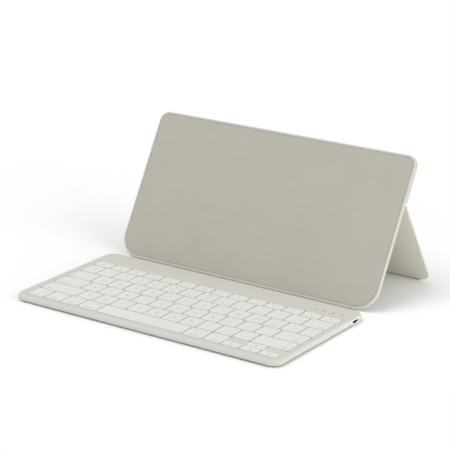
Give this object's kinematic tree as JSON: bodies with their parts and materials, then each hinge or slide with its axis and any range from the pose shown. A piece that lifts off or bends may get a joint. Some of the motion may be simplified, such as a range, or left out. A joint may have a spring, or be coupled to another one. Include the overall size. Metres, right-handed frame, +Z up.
{
  "type": "tablet keyboard case",
  "caption": "Slim wireless keyboard with a magnetic tablet back plate that leans on a fold-out friction-hinged kickstand.",
  "frame": {"origin": "middle of the footprint on the table, with the case open for typing", "axes": "+X to the user's right along the keyboard, +Y away from the user, +Z up"},
  "size_m": [0.286, 0.2602, 0.1291],
  "materials": {
    "keyboard_shell": "fine matte moulding",
    "keyboard_base": "fine matte moulding",
    "key_web": "matte",
    "key_caps": "fine matte, light grey legends",
    "support_metal": "plain sheet",
    "membrane_film": "satin film",
    "dome_silicone": "satin",
    "link_plastic": "moulded",
    "circuit_board": "solder mask",
    "battery_wrap": "wrapped pouch cell",
    "connector_steel": "drawn",
    "port_trim": "gloss",
    "light_lens": "smoked",
    "magnet_steel": "plated",
    "screw_steel": "plated",
    "foot_rubber": "matte",
    "bead_rubber": "matte",
    "plate_edge": "soft-touch",
    "core_board": "glass-fibre board",
    "lining_fabric": "microfibre",
    "cover_skin": "fine-grain synthetic leather",
    "inner_skin": "fine smooth lining",
    "hinge_steel": "satin"
  },
  "bodies": {
    "keyboard": {"top_case": "keyboard_shell", "base_plate": "keyboard_base", "key_web": "key_web", "key_support_plate": "support_metal", "switch_membrane": "membrane_film", "rubber_domes": "dome_silicone", "scissor_links": "link_plastic", "main_board": "circuit_board", "battery_cell": "battery_wrap", "usb_connector": "connector_steel", "port_bezel": "port_trim", "indicator_lenses": "light_lens", "keyboard_magnets": "magnet_steel", "base_screws": "screw_steel", "rubber_feet": "foot_rubber"},
    "pivot": {"pivot_bead": "bead_rubber"},
    "back_plate": {"plate_shell": "plate_edge", "plate_core": "core_board", "front_lining": "lining_fabric", "plate_magnets": "magnet_steel", "upper_cover": "cover_skin", "hinge_plate_leaves": "hinge_steel", "hinge_pins": "hinge_steel"},
    "kickstand": {"kickstand_outer_skin": "cover_skin", "kickstand_core": "core_board", "kickstand_inner_skin": "inner_skin", "kickstand_magnets": "magnet_steel", "kickstand_foot": "bead_rubber", "hinge_leg_leaves": "hinge_steel"},
    "function_keys_body": {"function_keys": "key_caps"},
    "number_keys_body": {"number_keys": "key_caps"},
    "upper_letter_keys_body": {"upper_letter_keys": "key_caps"},
    "home_letter_keys_body": {"home_letter_keys": "key_caps"},
    "lower_letter_keys_body": {"lower_letter_keys": "key_caps"},
    "escape_key_body": {"escape_key": "key_caps"},
    "lock_key_body": {"lock_key": "key_caps"},
    "backspace_key_body": {"backspace_key": "key_caps"},
    "tab_key_body": {"tab_key": "key_caps"},
    "caps_lock_key_body": {"caps_lock_key": "key_caps"},
    "return_key_body": {"return_key": "key_caps"},
    "left_shift_key_body": {"left_shift_key": "key_caps"},
    "right_shift_key_body": {"right_shift_key": "key_caps"},
    "fn_key_body": {"fn_key": "key_caps"},
    "control_key_body": {"control_key": "key_caps"},
    "left_option_key_body": {"left_option_key": "key_caps"},
    "left_command_key_body": {"left_command_key": "key_caps"},
    "space_bar_body": {"space_bar": "key_caps"},
    "right_command_key_body": {"right_command_key": "key_caps"},
    "right_option_key_body": {"right_option_key": "key_caps"},
    "left_arrow_key_body": {"left_arrow_key": "key_caps"},
    "up_arrow_key_body": {"up_arrow_key": "key_caps"},
    "down_arrow_key_body": {"down_arrow_key": "key_caps"},
    "right_arrow_key_body": {"right_arrow_key": "key_caps"}
  },
  "joints": [
    {"name": "keyboard_release", "type": "slide", "parent": "keyboard", "child": "pivot", "axis": [0, 1, 0], "range_m": [0, 0.06]},
    {"name": "screen_tilt", "type": "hinge", "parent": "pivot", "child": "back_plate", "pos_m": [0, 0.02449, 0.001], "axis": [1, 0, 0], "range_deg": [-25, 30]},
    {"name": "kickstand_hinge", "type": "hinge", "parent": "back_plate", "child": "kickstand", "pos_m": [0, 0.0768, 0.088], "axis": [1, 0, 0], "range_deg": [-60, 50]},
    {"name": "function_keys_press", "type": "slide", "parent": "keyboard", "child": "function_keys_body", "axis": [0, 0, -1], "range_m": [0, 0.001], "stiffness_N_per_m": 6000},
    {"name": "number_keys_press", "type": "slide", "parent": "keyboard", "child": "number_keys_body", "axis": [0, 0, -1], "range_m": [0, 0.001], "stiffness_N_per_m": 6500},
    {"name": "upper_letter_keys_press", "type": "slide", "parent": "keyboard", "child": "upper_letter_keys_body", "axis": [0, 0, -1], "range_m": [0, 0.001], "stiffness_N_per_m": 6500},
    {"name": "home_letter_keys_press", "type": "slide", "parent": "keyboard", "child": "home_letter_keys_body", "axis": [0, 0, -1], "range_m": [0, 0.001], "stiffness_N_per_m": 5500},
    {"name": "lower_letter_keys_press", "type": "slide", "parent": "keyboard", "child": "lower_letter_keys_body", "axis": [0, 0, -1], "range_m": [0, 0.001], "stiffness_N_per_m": 5000},
    {"name": "escape_key_press", "type": "slide", "parent": "keyboard", "child": "escape_key_body", "axis": [0, 0, -1], "range_m": [0, 0.001], "stiffness_N_per_m": 500},
    {"name": "lock_key_press", "type": "slide", "parent": "keyboard", "child": "lock_key_body", "axis": [0, 0, -1], "range_m": [0, 0.001], "stiffness_N_per_m": 500},
    {"name": "backspace_key_press", "type": "slide", "parent": "keyboard", "child": "backspace_key_body", "axis": [0, 0, -1], "range_m": [0, 0.001], "stiffness_N_per_m": 500},
    {"name": "tab_key_press", "type": "slide", "parent": "keyboard", "child": "tab_key_body", "axis": [0, 0, -1], "range_m": [0, 0.001], "stiffness_N_per_m": 500},
    {"name": "caps_lock_key_press", "type": "slide", "parent": "keyboard", "child": "caps_lock_key_body", "axis": [0, 0, -1], "range_m": [0, 0.001], "stiffness_N_per_m": 500},
    {"name": "return_key_press", "type": "slide", "parent": "keyboard", "child": "return_key_body", "axis": [0, 0, -1], "range_m": [0, 0.001], "stiffness_N_per_m": 500},
    {"name": "left_shift_key_press", "type": "slide", "parent": "keyboard", "child": "left_shift_key_body", "axis": [0, 0, -1], "range_m": [0, 0.001], "stiffness_N_per_m": 500},
    {"name": "right_shift_key_press", "type": "slide", "parent": "keyboard", "child": "right_shift_key_body", "axis": [0, 0, -1], "range_m": [0, 0.001], "stiffness_N_per_m": 500},
    {"name": "fn_key_press", "type": "slide", "parent": "keyboard", "child": "fn_key_body", "axis": [0, 0, -1], "range_m": [0, 0.001], "stiffness_N_per_m": 500},
    {"name": "control_key_press", "type": "slide", "parent": "keyboard", "child": "control_key_body", "axis": [0, 0, -1], "range_m": [0, 0.001], "stiffness_N_per_m": 500},
    {"name": "left_option_key_press", "type": "slide", "parent": "keyboard", "child": "left_option_key_body", "axis": [0, 0, -1], "range_m": [0, 0.001], "stiffness_N_per_m": 500},
    {"name": "left_command_key_press", "type": "slide", "parent": "keyboard", "child": "left_command_key_body", "axis": [0, 0, -1], "range_m": [0, 0.001], "stiffness_N_per_m": 500},
    {"name": "space_bar_press", "type": "slide", "parent": "keyboard", "child": "space_bar_body", "axis": [0, 0, -1], "range_m": [0, 0.001], "stiffness_N_per_m": 500},
    {"name": "right_command_key_press", "type": "slide", "parent": "keyboard", "child": "right_command_key_body", "axis": [0, 0, -1], "range_m": [0, 0.001], "stiffness_N_per_m": 500},
    {"name": "right_option_key_press", "type": "slide", "parent": "keyboard", "child": "right_option_key_body", "axis": [0, 0, -1], "range_m": [0, 0.001], "stiffness_N_per_m": 500},
    {"name": "left_arrow_key_press", "type": "slide", "parent": "keyboard", "child": "left_arrow_key_body", "axis": [0, 0, -1], "range_m": [0, 0.001], "stiffness_N_per_m": 500},
    {"name": "up_arrow_key_press", "type": "slide", "parent": "keyboard", "child": "up_arrow_key_body", "axis": [0, 0, -1], "range_m": [0, 0.001], "stiffness_N_per_m": 500},
    {"name": "down_arrow_key_press", "type": "slide", "parent": "keyboard", "child": "down_arrow_key_body", "axis": [0, 0, -1], "range_m": [0, 0.001], "stiffness_N_per_m": 500},
    {"name": "right_arrow_key_press", "type": "slide", "parent": "keyboard", "child": "right_arrow_key_body", "axis": [0, 0, -1], "range_m": [0, 0.001], "stiffness_N_per_m": 500}
  ],
  "couplings": [
    {"joint": "kickstand_hinge", "follows": "screen_tilt", "ratio": -2}
  ]
}
